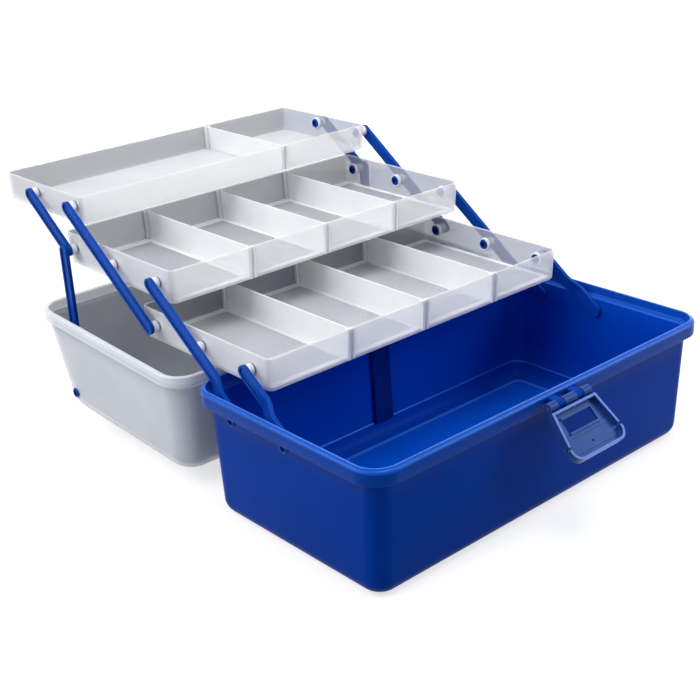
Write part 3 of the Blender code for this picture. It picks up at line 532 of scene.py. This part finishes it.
def lid_shell():
    outer_r = LID_CORNER - LID_BAND
    inner_r = outer_r - LID_WALL
    wall_top = LID_H - LID_TOP_R
    rings = []
    for share in (1.4, 1.2):
        inset = LID_TOP_R * share
        rings.append(lid_ring(LID_WALL + inset, LID_H - LID_WALL,
                              max(inner_r - inset / 2, 0.002)))
    for inset, drop in arc(LID_TOP_R, LID_TOP_R, LID_TOP_R, 270, 180, 12):
        rings.append(lid_ring(LID_WALL + inset, LID_H - LID_WALL - drop, inner_r - inset / 2))
    for share in (0.75, 0.5, 0.25):
        height = LID_BAND_H + LID_WALL + (wall_top - LID_BAND_H) * share
        rings.append(lid_ring(LID_WALL, height, inner_r))
    inner = LID_BAND + LID_WALL - LID_LEDGE_W
    rings.append(lid_ring(LID_WALL, LID_BAND_H + LID_WALL + 0.0006, inner_r))
    rings.append(lid_ring(LID_WALL + 0.0004, LID_BAND_H + LID_WALL, inner_r))
    rings.append(lid_ring(inner - 0.0002, LID_BAND_H - LID_LEDGE_W + 0.0007, inner_r))
    rings.append(lid_ring(inner, LID_BAND_H - LID_LEDGE_W, inner_r))
    inside_end = len(rings)
    for u, v in arc(inner - 0.0010, 0.0010, 0.0010, 0, -90, 4):
        rings.append(lid_ring(u, v, inner_r + (inner - u)))
    for u, v in arc(0.0010, 0.0010, 0.0010, 270, 180, 5):
        rings.append(lid_ring(u, v, LID_CORNER - u))
    for u, v in arc(0.0010, LID_BAND_H - 0.0011, 0.0010, 180, 100, 4):
        rings.append(lid_ring(u, v, LID_CORNER - u))
    rings.append(lid_ring(LID_BAND - 0.0006, LID_BAND_H - 0.00008, outer_r + 0.0006))
    rings.append(lid_ring(0.0, LID_BAND_H + 0.0006, outer_r))
    for share in (0.25, 0.5, 0.75):
        rings.append(lid_ring(0.0, LID_BAND_H + (wall_top - LID_BAND_H) * share, outer_r))
    for inset, drop in arc(LID_TOP_R, LID_TOP_R, LID_TOP_R, 180, 270, 12):
        rings.append(lid_ring(inset, LID_H - drop, outer_r - inset / 2))
    bm = bmesh.new()
    bands = loft(bm, rings)
    finishes = (LID_OUTSIDE, LID_INSIDE_SHADE)
    # The lid's inside takes the dark blue grey, painted shade.
    paint(bands[:inside_end - 1] + bands[-2:-1], finishes, LID_INSIDE_SHADE)
    return finish_mesh(bm, "lid_body", finishes, LID_PLACE, angle=50.0)


def lid_fittings():
    """Knuckles, handle lugs and the latch catch on the lid."""
    bm = bmesh.new()
    wall_y = LID_BACK_Y - HINGE_Y - 0.0008
    rim_z = LID_RIM_Z - HINGE_Z
    outline = arc(0.0, 0.0, KNUCKLE_R, 215, 410, 18)
    outline += [(wall_y, rim_z + 0.0075), (wall_y, rim_z + 0.003)]
    for centre in (-HINGE_SPACING / 2, HINGE_SPACING / 2):
        prism(bm, outline, centre - 0.012, centre + 0.012)
    wall_y = LID_FRONT_Y - HINGE_Y
    low_z, high_z = LATCH_Z + 0.0131 - HINGE_Z, LATCH_Z + 0.0180 - HINGE_Z
    outline = [(wall_y + 0.0008, low_z), (wall_y + 0.0008, high_z),
               (wall_y - 0.00375, high_z), (wall_y - 0.0075, low_z)]
    prism(bm, outline, -0.014, 0.014)
    roof_z = rim_z + LID_H
    outline = [(-HINGE_Y - 0.009, roof_z - 0.0008), (-HINGE_Y + 0.009, roof_z - 0.0008)]
    outline += arc(-HINGE_Y, HANDLE_AXIS_Z, LUG_R, 0, 180, 16)
    prism(bm, outline, LUG_OUTER - LUG_T, LUG_OUTER)
    prism(bm, outline, -LUG_OUTER, -LUG_OUTER + LUG_T)
    return finish_mesh(bm, "lid_fittings", LID_SOLID, LID_PLACE, bevel=0.0005)


stand_for(lid_shell(), "lid", ("lid_shell",))
stand_for(lid_fittings(), "lid", ())


# Trays

def tray_shell(name, low_y, high_y, low_z, height, place):
    def one(inset, z):
        inward = TRAY_DRAFT * (low_z + height - z) / height + inset
        x = TRAY_L / 2 - inward
        return ring(-x, x, low_y + inward, high_y - inward, TRAY_CORNER - inset / 2, z, 8)

    rings = []
    foot = TRAY_FOOT
    for inset, drop in arc(foot, foot, foot, 270, 180, 5):
        rings.append(one(inset, low_z + drop))
    for share in (0.33, 0.66):
        rings.append(one(0.0, low_z + height * share))
    edge = TRAY_WALL / 2
    for inset, drop in arc(edge, -edge, edge, 180, 0, 7):
        rings.append(one(inset, low_z + height + drop))
    inside_start = len(rings) - 1
    for share in (0.66, 0.33):
        rings.append(one(TRAY_WALL, low_z + height * share))
    for inset, drop in arc(foot, foot, foot, 180, 270, 5):
        rings.append(one(TRAY_WALL + inset, low_z + TRAY_WALL + drop))
    inside_end = len(rings) - 3
    rings.append(one(TRAY_WALL + 2 * foot, low_z + TRAY_WALL))
    bm = bmesh.new()
    bands = loft(bm, rings)
    # The top tray's floor takes the darker grey, painted shade.
    floor = TOP_FLOOR_SHADE if "top" in name else TRAY_FLOOR
    finishes = (TRAY_OUTSIDE, TRAY_BACK_SHADE, floor, TRAY_END_SHADE, TRAY_CLEAR)
    # The inner faces of the back and end walls take darker greys, painted shade; the inner faces of
    # the front walls are left nearly clear.
    for faces in bands[inside_start:inside_end]:
        for face in faces:
            along = face.verts[1].co - face.verts[0].co
            outward = -along.x / max(along.length, 1e-9)
            side = TRAY_BACK_SHADE if outward > 0.7 else TRAY_END_SHADE if outward > -0.7 else TRAY_CLEAR
            face.material_index = finishes.index(side)
    paint(bands[inside_end:len(rings) - 1] + bands[-1:], finishes, floor)
    return finish_mesh(bm, name, finishes, place, angle=50.0)


def tray_fittings(name, low_y, high_y, low_z, height, place, pivots, shares):
    """Boss rings and the divider guides, whose roots show through the milky walls."""
    bm = bmesh.new()
    wall_x = TRAY_L / 2 - TRAY_WALL - TRAY_DRAFT * 0.5
    outer, inner = 0.0062, 0.0042
    profile = ((wall_x + 0.001, outer), (BOSS_X + 0.0004, outer), (BOSS_X, outer - 0.0004),
               (BOSS_X, inner + 0.0003), (BOSS_X + 0.0003, inner), (wall_x + 0.001, inner))
    for side in (-1, 1):
        for y in pivots:
            turned(bm, [(side * x, radius) for x, radius in profile], y, closed=True)
    slot = DIVIDER_T + 2 * DIVIDER_GAP
    rib = (GUIDE_W - slot) / 2
    top_z = low_z + height - DIVIDER_DROP
    for share in shares:
        centre = share * TRAY_L
        for start in (centre - GUIDE_W / 2, centre + slot / 2):
            for wall_y, way in ((low_y, 1), (high_y, -1)):
                ends = sorted((-way * (TRAY_WALL + 0.00006), way * 0.0032))
                for vert in block(bm, (start, ends[0], low_z + TRAY_WALL - 0.0008),
                                  (start + rib, ends[1], top_z)):
                    drop = TRAY_DRAFT * (low_z + height - vert.co.z) / height
                    vert.co.y += wall_y + way * (drop + TRAY_WALL)
    return finish_mesh(bm, name, TRAY_SOLID, place, bevel=0.0003)


def tray_ribs(name, low_y, high_y, low_z, place, shares):
    """The fine ribs that run along each compartment's floor."""
    bm = bmesh.new()
    floor_z = low_z + TRAY_WALL
    inset = TRAY_WALL + TRAY_DRAFT + 0.0055
    walls = [-TRAY_L / 2 + inset] + [share * TRAY_L for share in shares] + [TRAY_L / 2 - inset]
    guide_gap = 0.006
    for left, right in zip(walls, walls[1:]):
        start = left + (guide_gap if left != walls[0] else 0.0)
        end = right - (guide_gap if right != walls[-1] else 0.0)
        y = low_y + inset + 0.004
        while y < high_y - inset - 0.004:
            outline = [(y - 0.0005, floor_z - 0.0002), (y - 0.0004, floor_z + 0.0005),
                       (y + 0.0004, floor_z + 0.0005), (y + 0.0005, floor_z - 0.0002)]
            prism(bm, outline, start, end)
            y += RIB_PITCH
    return finish_mesh(bm, name, TRAY_LINE, place)


def divider(name, centre, low_y, high_y, low_z, height, place):
    floor_z = low_z + TRAY_WALL + DIVIDER_GAP
    turn_z = floor_z + TRAY_FOOT
    top_z = low_z + height - DIVIDER_DROP

    def inward(z):
        return TRAY_DRAFT * (low_z + height - z) / height + TRAY_WALL + DIVIDER_GAP

    foot = inward(floor_z) + TRAY_FOOT
    outline = [(low_y + foot, floor_z), (high_y - foot, floor_z),
               (high_y - inward(turn_z), turn_z), (high_y - inward(top_z), top_z),
               (low_y + inward(top_z), top_z), (low_y + inward(turn_z), turn_z)]
    bm = bmesh.new()
    prism(bm, outline, centre - DIVIDER_T / 2, centre + DIVIDER_T / 2)
    return finish_mesh(bm, name, TRAY_PLATE, place, bevel=0.0003)


COS, SIN = math.cos(ARM_ANGLE), math.sin(ARM_ANGLE)
BOTTOM = (TUB_PIVOT_Y + ARM_STEP * COS, TUB_PIVOT_Z + ARM_STEP * SIN)
MIDDLE = (TUB_PIVOT_Y + 2 * ARM_STEP * COS, TUB_PIVOT_Z + 2 * ARM_STEP * SIN)
UPPER = (BOTTOM[0] + PIVOTS, BOTTOM[1])
REAR = (MIDDLE[0] + 2 * PIVOTS, MIDDLE[1])
TOP = (UPPER[0] + 2 * ARM_STEP * COS, UPPER[1] + 2 * ARM_STEP * SIN)

TRAYS = (
    ("tray_bottom", BOTTOM, (-PIVOTS, 0.0, PIVOTS), 0.0221, 0.0221, 0.0157, 0.0297,
     (-0.248, 0.0, 0.252), True),
    ("tray_middle", MIDDLE, (0.0, PIVOTS, 2 * PIVOTS), 0.0207, 0.0151, 0.0170, 0.0310,
     (-0.250, 0.0, 0.248), True),
    ("tray_top", TOP, (0.0, PIVOTS), 0.0096, 0.0598, 0.0178, 0.0271, (0.184,), False),
)

for label, (y, z), pivots, front, back, below, height, shares, ribbed in TRAYS:
    low_y, high_y = pivots[0] - front, pivots[-1] + back
    place = at(y, z)
    body = tray_shell(label + "_body", low_y, high_y, -below, height, place)
    stand_for(body, label, (label,))
    fittings = tray_fittings(label + "_fittings", low_y, high_y, -below, height, place,
                             pivots, shares)
    stand_for(fittings, label, ())
    if ribbed:
        ribs = tray_ribs(label + "_ribs", low_y, high_y, -below, place, shares)
        stand_for(ribs, label, ())
    for number, share in enumerate(shares, 1):
        node = label + "_divider_" + str(number)
        plate = divider(node + "_plate", share * TRAY_L, low_y, high_y, -below, height, place)
        stand_for(plate, label, (node,))


# Arms

SNAP_FINISHES = (ARM_BLUE, PIN_DIMPLE_SHADE)


def arm_shift(place, jog):
    share = min(max((JOG_END - place) / (JOG_END - JOG_START), 0.0), 1.0)
    return jog * share * share * (3 - 2 * share)


def bar(bm, start, end, radius, inner, outer, jog):
    """A flat bar with round ends, which steps sideways by jog near its start."""
    steps = 10
    stations = []
    turns = [math.pi / 2 * (step + 0.2) / (steps + 0.2) for step in range(steps)]
    for turn in turns:
        stations.append((start - radius * math.cos(turn), radius * math.sin(turn)))
    stations.append((start, radius))
    if jog:
        for step in range(steps + 1):
            stations.append((JOG_START + (JOG_END - JOG_START) * step / steps, radius))
    stations.append((end, radius))
    for turn in reversed(turns):
        stations.append((end + radius * math.cos(turn), radius * math.sin(turn)))
    rings = []
    for place, half in stations:
        shift = arm_shift(place, jog)
        rings.append([Vector((inner + shift, place, -half)), Vector((outer + shift, place, -half)),
                      Vector((outer + shift, place, half)), Vector((inner + shift, place, half))])
    loft(bm, rings)


def collar(bm, root, end, y=0.0):
    way = 1 if end > root else -1
    turned(bm, [(root, COLLAR_R), (end - way * 0.0003, COLLAR_R), (end, COLLAR_R - 0.0003)], y)


def pin(bm, root, seat, way, y=0.0):
    """A pin with a rounded snap head and the dimple in its nose."""
    nose = seat + way * HEAD_L
    profile = [(root, PIN_R), (seat - way * 0.0001, PIN_R), (seat, HEAD_R - 0.0003),
               (seat + way * 0.0003, HEAD_R), (nose - way * 0.0003, HEAD_R - 0.0003),
               (nose, HEAD_R - 0.0009)]
    start = len(profile)
    profile += [(nose, 0.0029), (nose - way * 0.0003, 0.0026), (nose - way * 0.0018, 0.0024)]
    bands = turned(bm, profile, y)
    # The dimple's walls and floor take the dark blue, painted shade.
    paint(bands[start:len(profile) - 1] + bands[-1:], SNAP_FINISHES, PIN_DIMPLE_SHADE)


def arm(name, place, side, length, inner_x, tray_pins, wall):
    """The pieces of one arm. wall holds the two faces of the wall that its end pin goes
    through, or None for an arm with tray pins alone."""
    radius = ARM_W / 2
    outer_x = inner_x + ARM_T
    jog, channel_start = 0.0, 0.0
    if wall is not None:
        channel_start = 2 * radius
        if inner_x < STAY_X:
            jog = wall[0] - outer_x
    body, channel, pins, collars = bmesh.new(), bmesh.new(), bmesh.new(), bmesh.new()
    bar(body, 0.0, length, radius, inner_x, outer_x, jog)
    bar(channel, channel_start, length, radius - 0.0019, outer_x - 0.0013, outer_x + 0.002, jog)
    for spot in tray_pins:
        pin(pins, inner_x + 0.0008, BOSS_X - 0.0003, -1, spot)
        collar(collars, inner_x + 0.0004, COLLAR_X, spot)
    if wall is not None:
        pin(pins, outer_x + jog - 0.0008, wall[1] + 0.0004, 1)
        if not jog:
            collar(pins, outer_x - 0.0004, wall[0])
    if side < 0:
        for bm in (body, channel, pins, collars):
            mirrored(bm)
    made = finish_mesh(body, name + "_bar", (ARM_BLUE, ARM_HIGHLIGHT), place)
    combine(made, channel, name + "_channel", place)
    # The rounded edges take the lighter blue, painted highlight.
    soften(made, 0.0006, highlight_slot=1)
    pieces = [made, finish_mesh(pins, name + "_snaps", SNAP_FINISHES, place, angle=50.0)]
    if tray_pins:
        pieces.append(finish_mesh(collars, name + "_collars", TRAY_SOLID, place, angle=50.0))
    return pieces


def all_arms():
    wall = (tub_half(TUB_PIVOT_Z - ARM_W / 2, TUB_L, TUB_DRAFT_X) - TUB_WALL - 0.0003,
            tub_half(TUB_PIVOT_Z + HEAD_R, TUB_L, TUB_DRAFT_X))
    y, z = LID_FRONT_Y + STAY_FROM_FRONT - HINGE_Y, LID_RIM_Z + STAY_FROM_RIM - HINGE_Z
    lid_y = HINGE_Y + y * math.cos(LID_OPEN) + z * math.sin(LID_OPEN)
    lid_z = HINGE_Z - y * math.sin(LID_OPEN) + z * math.cos(LID_OPEN)
    lean = math.atan2(REAR[1] - lid_z, REAR[0] - lid_y)
    stay_length = math.hypot(REAR[1] - lid_z, REAR[0] - lid_y)
    seat = STAY_FROM_RIM + COLLAR_R
    rounding = max(seat - (LID_H - LID_WALL - LID_TOP_R), 0.0) * math.tan(math.pi / 12)
    lid_wall = (lid_side_x(seat) - LID_WALL - rounding - 0.0006, lid_side_x(STAY_FROM_RIM - HEAD_R))
    front = at(TUB_PIVOT_Y - PIVOTS, TUB_PIVOT_Z, ARM_ANGLE)
    lower = at(TUB_PIVOT_Y, TUB_PIVOT_Z, ARM_ANGLE)
    two = 2 * ARM_STEP
    kinds = (
        ("front_arm", "front_arms", front, ARM_STEP, ARM_X, (ARM_STEP,), wall),
        ("lower_arm", "lower_arms", lower, two, ARM_X, (ARM_STEP, two), wall),
        ("upper_arm", "upper_arms", at(*UPPER, ARM_ANGLE), two, ARM_X, (0.0, ARM_STEP, two), None),
        ("rear_arm", "rear_arms", at(*REAR, ARM_ANGLE), ARM_STEP, ARM_X, (0.0, ARM_STEP), None),
        ("lid_stay", "lid_stays", at(lid_y, lid_z, lean), stay_length, STAY_X, (), lid_wall),
    )
    for kind, body, place, length, inner_x, tray_pins, pin_wall in kinds:
        for label, side in (("left", -1), ("right", 1)):
            name = kind + "_" + label
            pieces = arm(name, place, side, length, inner_x, tray_pins, pin_wall)
            stand_for(pieces[0], body, (name,))
            for piece in pieces[1:]:
                stand_for(piece, body, ())


all_arms()


# Latch

def flap_outline(inset):
    top_x, tip_x, radius = FLAP_TOP_X - inset, FLAP_TIP_X - inset, FLAP_CORNER - inset
    top_z, tip_z = FLAP_TOP_Z - inset, FLAP_TIP_Z + inset
    half = [(top_x, top_z), (tip_x, tip_z + radius)]
    half += arc(tip_x - radius, tip_z + radius, radius, 0, -90, 8)[1:]
    return half + [(-x, z) for x, z in reversed(half)]


def latch():
    place = at(LATCH_Y, LATCH_Z, -LATCH_HANG)
    back_y = 0.0042
    face_y = back_y - FLAP_FRAME
    rail_y = face_y - FLAP_RAIL
    body, pocket, slots = bmesh.new(), bmesh.new(), bmesh.new()
    prism(body, flap_outline(0.0), rail_y, back_y, along="y")
    flap = finish_mesh(body, "latch_body", (LATCH_BLUE, LATCH_HIGHLIGHT), place)
    # The rails' outward faces take the lighter blue, painted light.
    local = place.inverted()
    for polygon in flap.data.polygons:
        if (local @ polygon.center).y < rail_y + 0.0001:
            polygon.material_index = 1
    prism(pocket, flap_outline(FLAP_FRAME), rail_y - 0.002, face_y, along="y")
    combine(flap, pocket, "latch_pocket", place)
    block(slots, (-0.018, face_y - 0.002, -0.0245), (0.018, back_y + 0.002, -0.0125))
    notch_share = 0.72
    notch_z = FLAP_TIP_Z * notch_share
    edge_x = FLAP_TOP_X + (FLAP_TIP_X - FLAP_TOP_X) * notch_share
    for side in (-1, 1):
        ends = sorted((side * (edge_x - 0.0011), side * (edge_x + 0.010)))
        block(slots, (ends[0], rail_y - 0.002, notch_z - 0.0022),
              (ends[1], back_y + 0.002, notch_z))
    combine(flap, slots, "latch_slots", place)
    barrel = bmesh.new()
    outline = [(face_y, -0.006), (back_y, -0.006)] + arc(0.0, 0.0, 0.0042, 0, 240, 28)
    for start, stop in ((-0.025, -0.01575), (-0.00725, 0.00725), (0.01575, 0.025)):
        prism(barrel, outline, start, stop)
    ridges = ((-0.0107, 0.0014, 0.018, 0.00180), (-0.0245, 0.0014, 0.018, 0.00180),
              (-0.0282, 0.0007, 0.024, 0.00108), (-0.0412, 0.0007, 0.024, 0.00108))
    for top_z, tall, half, wide in ridges:
        block(barrel, (-half, face_y - tall, top_z - wide), (half, face_y + 0.0008, top_z))
    combine(flap, barrel, "latch_barrel", place, "UNION")
    bore = bmesh.new()
    turned(bore, ((-0.03, 0.0018), (0.03, 0.0018)))
    hole = arc(0.0, -0.0375, 0.0011, 0, 342, 19)
    prism(bore, hole, face_y - 0.002, face_y + 0.0014, along="y")
    combine(flap, bore, "latch_bore", place)
    # The rounded edges take the lighter blue, painted highlight.
    soften(flap, 0.0005, highlight_slot=1)
    return flap


stand_for(latch(), "latch_flap", ("latch_flap",))


# Handle, as a tube swept along its path

def handle():
    path = [(LUG_OUTER - LUG_T - 0.0025, 0.0)]
    path += arc(LUG_OUTER, HANDLE_END, HANDLE_END, -90, 0, 8)
    path += arc(HANDLE_HALF - HANDLE_CORNER, HANDLE_REACH - HANDLE_CORNER, HANDLE_CORNER, 0, 90, 10)
    path += [(-x, y) for x, y in reversed(path)]
    curve = bpy.data.curves.new("handle_path", "CURVE")
    curve.dimensions = "3D"
    curve.bevel_depth = GRIP_R
    curve.bevel_resolution = 8
    curve.use_fill_caps = True
    spline = curve.splines.new("POLY")
    spline.points.add(len(path) - 1)
    for point, (x, y) in zip(spline.points, path):
        point.co = (x, y, 0.0, 1.0)
    carrier = bpy.data.objects.new("handle_path", curve)
    bpy.context.scene.collection.objects.link(carrier)
    graph = bpy.context.evaluated_depsgraph_get()
    mesh = bpy.data.meshes.new_from_object(carrier.evaluated_get(graph))
    bpy.data.objects.remove(carrier)
    mesh.transform(LID_PLACE @ Matrix.Translation((0.0, -HINGE_Y, HANDLE_AXIS_Z)))
    mesh.materials.clear()
    mesh.materials.append(TUB_BLUE)
    for polygon in mesh.polygons:
        polygon.use_smooth = True
    mesh.set_sharp_from_angle(angle=math.radians(50))
    made = bpy.data.objects.new("handle_bail", mesh)
    bpy.context.scene.collection.objects.link(made)
    return made


stand_for(handle(), "carry_handle", ("carry_handle",))

for node in ("hinge_pin_left", "hinge_pin_right", "latch_pin"):
    for material_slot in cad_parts[node].material_slots:
        material_slot.material = PIN_STEEL


# Floor, backdrop and light

def seen_directly(nodes, links):
    """1 for rays from the camera, from glossy faces and through clear ones, 0 for the rest."""
    path = nodes.new("ShaderNodeLightPath")
    first = nodes.new("ShaderNodeMath")
    first.operation = "ADD"
    second = nodes.new("ShaderNodeMath")
    second.operation = "ADD"
    second.use_clamp = True
    links.new(path.outputs["Is Camera Ray"], first.inputs[0])
    links.new(path.outputs["Is Glossy Ray"], first.inputs[1])
    links.new(first.outputs[0], second.inputs[0])
    links.new(path.outputs["Is Transmission Ray"], second.inputs[1])
    return second.outputs[0]


def stage_material(name, strength):
    material, nodes, links, shader = new_material(name)
    shader.inputs["Base Color"].default_value = (0.45, 0.45, 0.46, 1.0)
    shader.inputs["Roughness"].default_value = 0.9
    shader.inputs["Specular IOR Level"].default_value = 0.1
    shader.inputs["Emission Color"].default_value = (1.0, 1.0, 1.0, 1.0)
    links.new(spread(nodes, links, seen_directly(nodes, links), 0.0, strength),
              shader.inputs["Emission Strength"])
    return material


def stage(name, profile, strength, half_width):
    bm = bmesh.new()
    rows = [[bm.verts.new((x, y, z)) for y, z in profile] for x in (-half_width, half_width)]
    for index in range(len(profile) - 1):
        bm.faces.new((rows[0][index], rows[1][index], rows[1][index + 1], rows[0][index + 1]))
    made = finish_mesh(bm, name, stage_material(name + "_white", strength),
                       Matrix.Rotation(math.radians(-42), 4, "Z"))


stage("floor", [(-1.2, 0.0), (1.0, 0.0)], 0.66, 1.2)
stage("backdrop", [(1.0, 0.0)] + arc(1.7, 0.6, 0.6, -90, 0, 16) + [(2.3, 2.4)], 1.0, 3.0)


def area_light(name, place, target, size, power):
    data = bpy.data.lights.new(name, "AREA")
    data.shape = "RECTANGLE"
    data.size, data.size_y = size
    data.energy = power
    light = bpy.data.objects.new(name, data)
    light.location = place
    aim = Vector(target) - Vector(place)
    light.rotation_euler = aim.to_track_quat("-Z", "Y").to_euler()
    bpy.context.scene.collection.objects.link(light)


area_light("key", (-1.35, 0.70, 1.30), (0.0, 0.1, 0.1), (1.8, 1.3), 32.0)
area_light("fill", (1.08, -0.98, 1.00), (0.0, 0.1, 0.1), (1.0, 1.0), 14.0)
area_light("top", (0.10, -0.25, 1.67), (0.0, 0.05, 0.1), (1.2, 0.8), 16.0)


def studio_world():
    world = bpy.data.worlds.new("studio")
    bpy.context.scene.world = world
    world.use_nodes = True
    nodes, links = world.node_tree.nodes, world.node_tree.links
    ambient = nodes["Background"]
    ambient.inputs["Color"].default_value = (0.88, 0.92, 1.0, 1.0)
    ambient.inputs["Strength"].default_value = 0.25
    white = nodes.new("ShaderNodeBackground")
    white.inputs["Color"].default_value = (1.0, 1.0, 1.0, 1.0)
    white.inputs["Strength"].default_value = 1.0
    mix = nodes.new("ShaderNodeMixShader")
    links.new(seen_directly(nodes, links), mix.inputs["Fac"])
    links.new(ambient.outputs["Background"], mix.inputs[1])
    links.new(white.outputs["Background"], mix.inputs[2])
    links.new(mix.outputs["Shader"], nodes["World Output"].inputs["Surface"])


studio_world()
bpy.context.scene.view_settings.view_transform = "Standard"


# Camera, solved from the photograph

def camera():
    side = 700
    focal_pixels = 1283.5
    centre_x, centre_y = 357.7, 328.4
    data = bpy.data.cameras.new("camera")
    data.sensor_width = 36.0
    data.lens = focal_pixels / side * data.sensor_width
    data.shift_x = (side / 2 - centre_x) / side
    data.shift_y = (centre_y - side / 2) / side
    data.clip_start = 0.01
    made = bpy.data.objects.new("camera", data)
    turn = Vector((1.846, -0.744, 0.442))
    rows = Matrix.Rotation(turn.length, 3, turn.normalized())
    place = -(rows.transposed() @ Vector((0.08928, 0.12155, 1.13039)))
    place.z += 0.0035
    basis = Matrix((rows[0], -Vector(rows[1]), -Vector(rows[2]))).transposed()
    made.matrix_world = Matrix.Translation(place) @ basis.to_4x4()
    bpy.context.scene.collection.objects.link(made)
    bpy.context.scene.camera = made


camera()

bpy.context.view_layer.update()
